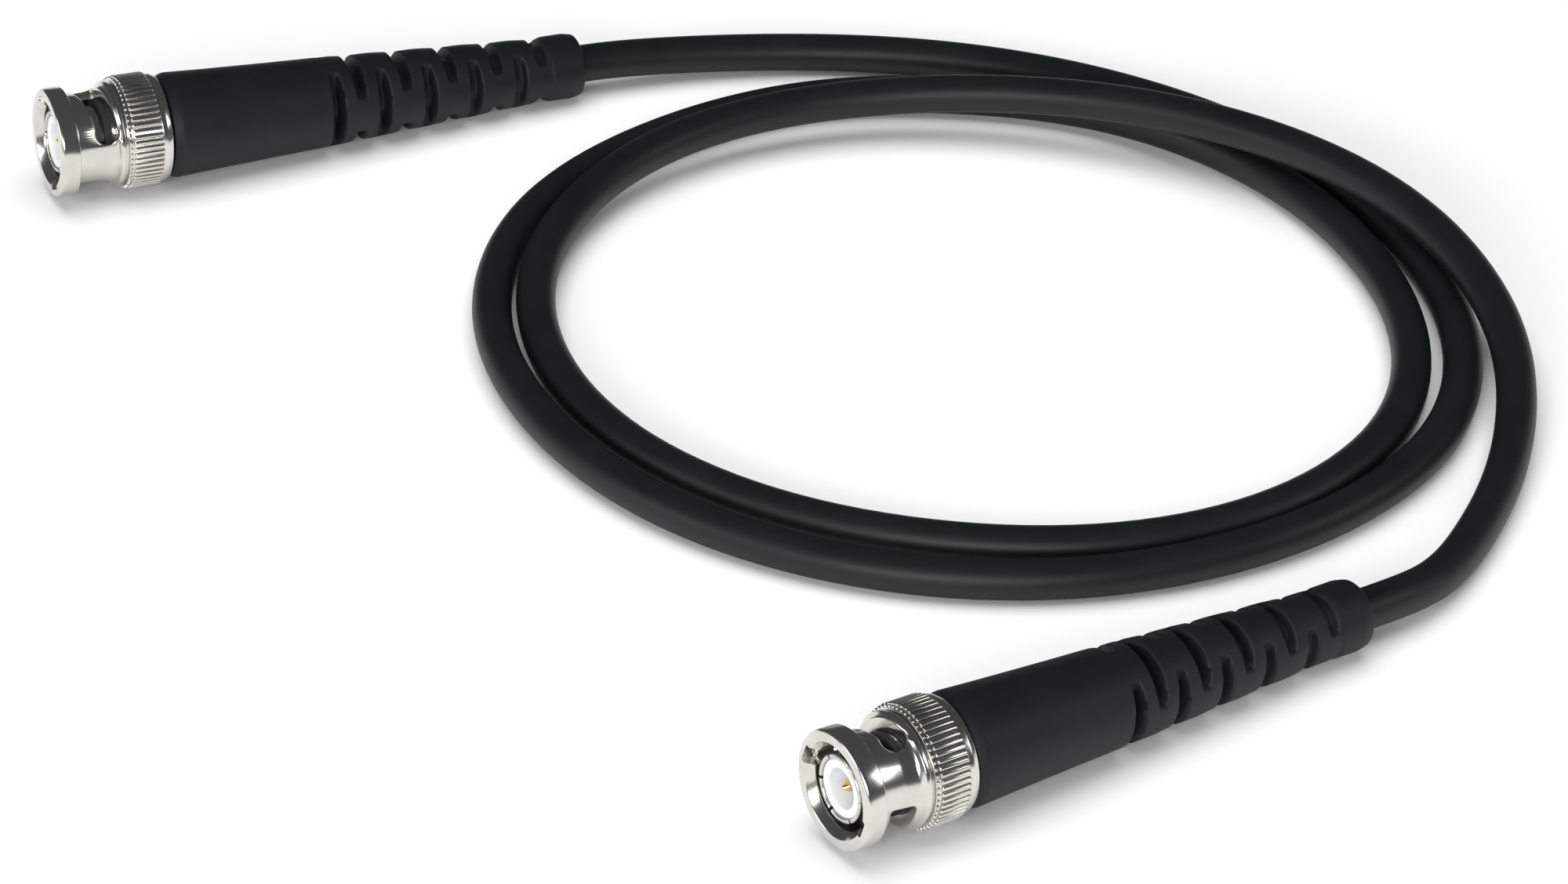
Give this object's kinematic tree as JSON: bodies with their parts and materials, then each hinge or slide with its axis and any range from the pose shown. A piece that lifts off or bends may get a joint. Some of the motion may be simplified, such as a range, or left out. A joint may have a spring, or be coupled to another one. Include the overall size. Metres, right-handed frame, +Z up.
{
  "type": "coaxial test lead",
  "caption": "Coiled black coaxial test lead with a silver knurled bayonet plug on each end, a white insulator round a gold pin, and a long tapered boot with staggered bend relief slots",
  "frame": {"origin": "on the table, at the middle of the box round the two plugs and their boots, without the cable", "axes": "+Z is up from the table; the cable coil lies to +X; the near plug points to -X and -Y, the far plug to -X and slightly -Y"},
  "size_m": [0.1905, 0.1862, 0.0152],
  "materials": {
    "nickel": "bright nickel plate on brass, slightly warm",
    "nickel_body": "nickel plate on turned brass, a little duller",
    "spring_steel": "plain spring steel strip",
    "gold": "gold plate, polished",
    "white_insulator": "white fluoropolymer, waxy",
    "gasket_rubber": "dark matt rubber",
    "boot_vinyl": "moulded blue-black vinyl, matt",
    "cable_jacket": "extruded black vinyl, satin",
    "tinned_copper": "tinned copper braid",
    "dielectric": "solid polyethylene, milky",
    "copper": "bare copper"
  },
  "bodies": {
    "lead": {"near_wave_washer": "spring_steel", "near_gasket": "gasket_rubber", "near_plug_body": "nickel_body", "near_outer_contact": "nickel_body", "near_front_insulator": "white_insulator", "near_rear_insulator": "white_insulator", "near_contact_pin": "gold", "near_crimp_ferrule": "nickel_body", "near_inner_mould": "boot_vinyl", "near_boot": "boot_vinyl", "near_jacket_end": "cable_jacket", "near_braid_end": "tinned_copper", "near_dielectric_end": "dielectric", "near_conductor_end": "copper", "far_wave_washer": "spring_steel", "far_gasket": "gasket_rubber", "far_plug_body": "nickel_body", "far_outer_contact": "nickel_body", "far_front_insulator": "white_insulator", "far_rear_insulator": "white_insulator", "far_contact_pin": "gold", "far_crimp_ferrule": "nickel_body", "far_inner_mould": "boot_vinyl", "far_boot": "boot_vinyl", "far_jacket_end": "cable_jacket", "far_braid_end": "tinned_copper", "far_dielectric_end": "dielectric", "far_conductor_end": "copper", "cable": "cable_jacket"},
    "near_slider": {"near_thrust_washer": "spring_steel"},
    "near_nut": {"near_coupling_nut": "nickel", "near_retaining_ring": "spring_steel"},
    "far_slider": {"far_thrust_washer": "spring_steel"},
    "far_nut": {"far_coupling_nut": "nickel", "far_retaining_ring": "spring_steel"}
  },
  "joints": [
    {"name": "near_nut_push", "type": "slide", "parent": "lead", "child": "near_slider", "axis": [-0.8279, -0.5584, 0.0534], "range_m": [0, 0.0008], "stiffness_N_per_m": 1500, "deforming": ["near_wave_washer"]},
    {"name": "near_nut_turn", "type": "hinge", "parent": "near_slider", "child": "near_nut", "pos_m": [0.02993, -0.0783, 0.00752], "axis": [0.8279, 0.5584, -0.0534], "continuous": true},
    {"name": "far_nut_push", "type": "slide", "parent": "lead", "child": "far_slider", "axis": [-0.9226, -0.3821, 0.0534], "range_m": [0, 0.0008], "stiffness_N_per_m": 1500, "deforming": ["far_wave_washer"]},
    {"name": "far_nut_turn", "type": "hinge", "parent": "far_slider", "child": "far_nut", "pos_m": [-0.06993, 0.06359, 0.00752], "axis": [0.9226, 0.3821, -0.0534], "continuous": true}
  ]
}
